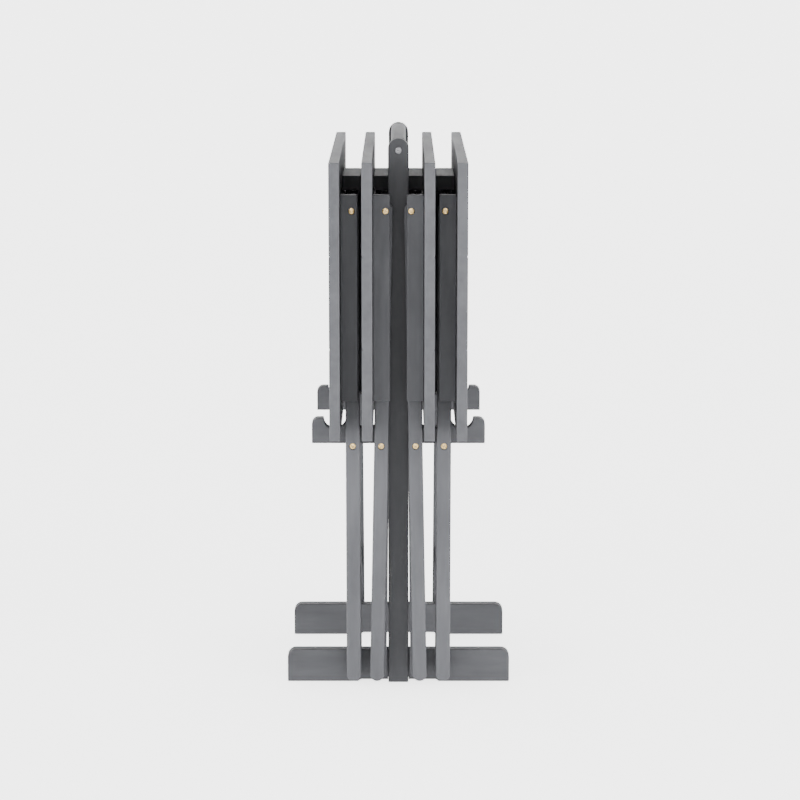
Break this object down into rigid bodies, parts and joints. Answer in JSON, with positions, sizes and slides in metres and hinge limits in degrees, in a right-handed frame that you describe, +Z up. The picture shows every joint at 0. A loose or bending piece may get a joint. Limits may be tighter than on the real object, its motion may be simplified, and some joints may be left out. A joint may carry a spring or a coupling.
{
  "type": "folding snack table set on a stand",
  "caption": "Folding snack tables stowed on edge in the notched hook boards of a carrying stand, with crossed leg frames and a grip bar between two posts.",
  "frame": {"origin": "bottom centre of the whole object, on the floor between the feet", "axes": "+Z up; X across the stand, along the feet and hook boards; Y along the tabletops' length, with -Y the end whose screw heads show"},
  "size_m": [0.321, 0.483, 0.7912],
  "materials": {
    "painted_wood": "satin grey paint over solid wood",
    "brass": "brass-plated screw head, lightly worn",
    "painted_screws": "steel screw head painted with the stand"
  },
  "bodies": {
    "stand": {"front_foot": "painted_wood", "rear_foot": "painted_wood", "front_post": "painted_wood", "rear_post": "painted_wood", "front_hook_board": "painted_wood", "rear_hook_board": "painted_wood", "handle_bar": "painted_wood", "front_handle_screw": "painted_screws", "rear_handle_screw": "painted_screws"},
    "outer_left_outer_legs": {"outer_left_front_outer_leg": "painted_wood", "outer_left_rear_outer_leg": "painted_wood", "outer_left_pivot_screw": "brass"},
    "outer_left_top": {"outer_left_tabletop": "painted_wood", "outer_left_front_cleat": "painted_wood", "outer_left_rear_cleat": "painted_wood", "outer_left_spacer_block": "painted_wood", "outer_left_hinge_screw": "brass"},
    "outer_left_inner_legs": {"outer_left_front_inner_leg": "painted_wood", "outer_left_rear_inner_leg": "painted_wood", "outer_left_top_dowel": "painted_wood", "outer_left_lower_stretcher": "painted_wood"},
    "inner_left_tray": {"inner_left_tabletop": "painted_wood", "inner_left_front_cleat": "painted_wood", "inner_left_rear_cleat": "painted_wood", "inner_left_spacer_block": "painted_wood", "inner_left_hinge_screw": "brass", "inner_left_front_outer_leg": "painted_wood", "inner_left_rear_outer_leg": "painted_wood", "inner_left_pivot_screw": "brass"},
    "inner_left_inner_legs": {"inner_left_front_inner_leg": "painted_wood", "inner_left_rear_inner_leg": "painted_wood", "inner_left_top_dowel": "painted_wood", "inner_left_lower_stretcher": "painted_wood"},
    "outer_right_outer_legs": {"outer_right_front_outer_leg": "painted_wood", "outer_right_rear_outer_leg": "painted_wood", "outer_right_pivot_screw": "brass"},
    "outer_right_top": {"outer_right_tabletop": "painted_wood", "outer_right_front_cleat": "painted_wood", "outer_right_rear_cleat": "painted_wood", "outer_right_spacer_block": "painted_wood", "outer_right_hinge_screw": "brass"},
    "outer_right_inner_legs": {"outer_right_front_inner_leg": "painted_wood", "outer_right_rear_inner_leg": "painted_wood", "outer_right_top_dowel": "painted_wood", "outer_right_lower_stretcher": "painted_wood"},
    "inner_right_tray": {"inner_right_tabletop": "painted_wood", "inner_right_front_cleat": "painted_wood", "inner_right_rear_cleat": "painted_wood", "inner_right_spacer_block": "painted_wood", "inner_right_hinge_screw": "brass", "inner_right_front_outer_leg": "painted_wood", "inner_right_rear_outer_leg": "painted_wood", "inner_right_pivot_screw": "brass"},
    "inner_right_inner_legs": {"inner_right_front_inner_leg": "painted_wood", "inner_right_rear_inner_leg": "painted_wood", "inner_right_top_dowel": "painted_wood", "inner_right_lower_stretcher": "painted_wood"}
  },
  "joints": [
    {"name": "outer_left_lift_off", "type": "slide", "parent": "stand", "child": "outer_left_outer_legs", "axis": [-0.342, 0, 0.9397], "range_m": [0, 1]},
    {"name": "outer_left_top_swing", "type": "hinge", "parent": "outer_left_outer_legs", "child": "outer_left_top", "pos_m": [-0.065, 0, 0.6915], "axis": [0, 1, 0], "range_deg": [0, 84]},
    {"name": "outer_left_leg_scissor", "type": "hinge", "parent": "outer_left_outer_legs", "child": "outer_left_inner_legs", "pos_m": [-0.0645, 0, 0.356], "axis": [0, -1, 0], "range_deg": [-0.6, 0.6]},
    {"name": "inner_left_lift", "type": "slide", "parent": "stand", "child": "inner_left_tray", "axis": [0, 0, 1], "range_m": [0, 0.025]},
    {"name": "inner_left_leg_scissor", "type": "hinge", "parent": "inner_left_tray", "child": "inner_left_inner_legs", "pos_m": [-0.02432, 0, 0.356], "axis": [0, -1, 0], "range_deg": [-0.25, 0.5]},
    {"name": "outer_right_lift_off", "type": "slide", "parent": "stand", "child": "outer_right_outer_legs", "axis": [0.342, 0, 0.9397], "range_m": [0, 1]},
    {"name": "outer_right_top_swing", "type": "hinge", "parent": "outer_right_outer_legs", "child": "outer_right_top", "pos_m": [0.065, 0, 0.6915], "axis": [0, -1, 0], "range_deg": [0, 84]},
    {"name": "outer_right_leg_scissor", "type": "hinge", "parent": "outer_right_outer_legs", "child": "outer_right_inner_legs", "pos_m": [0.0645, 0, 0.356], "axis": [0, 1, 0], "range_deg": [-0.6, 0.6]},
    {"name": "inner_right_lift", "type": "slide", "parent": "stand", "child": "inner_right_tray", "axis": [0, 0, 1], "range_m": [0, 0.025]},
    {"name": "inner_right_leg_scissor", "type": "hinge", "parent": "inner_right_tray", "child": "inner_right_inner_legs", "pos_m": [0.02432, 0, 0.356], "axis": [0, 1, 0], "range_deg": [-0.25, 0.5]}
  ],
  "couplings": [
    {"joint": "outer_left_top_swing", "follows": "outer_left_lift_off", "rad_per_m": 1.466},
    {"joint": "outer_right_top_swing", "follows": "outer_right_lift_off", "rad_per_m": 1.466}
  ]
}
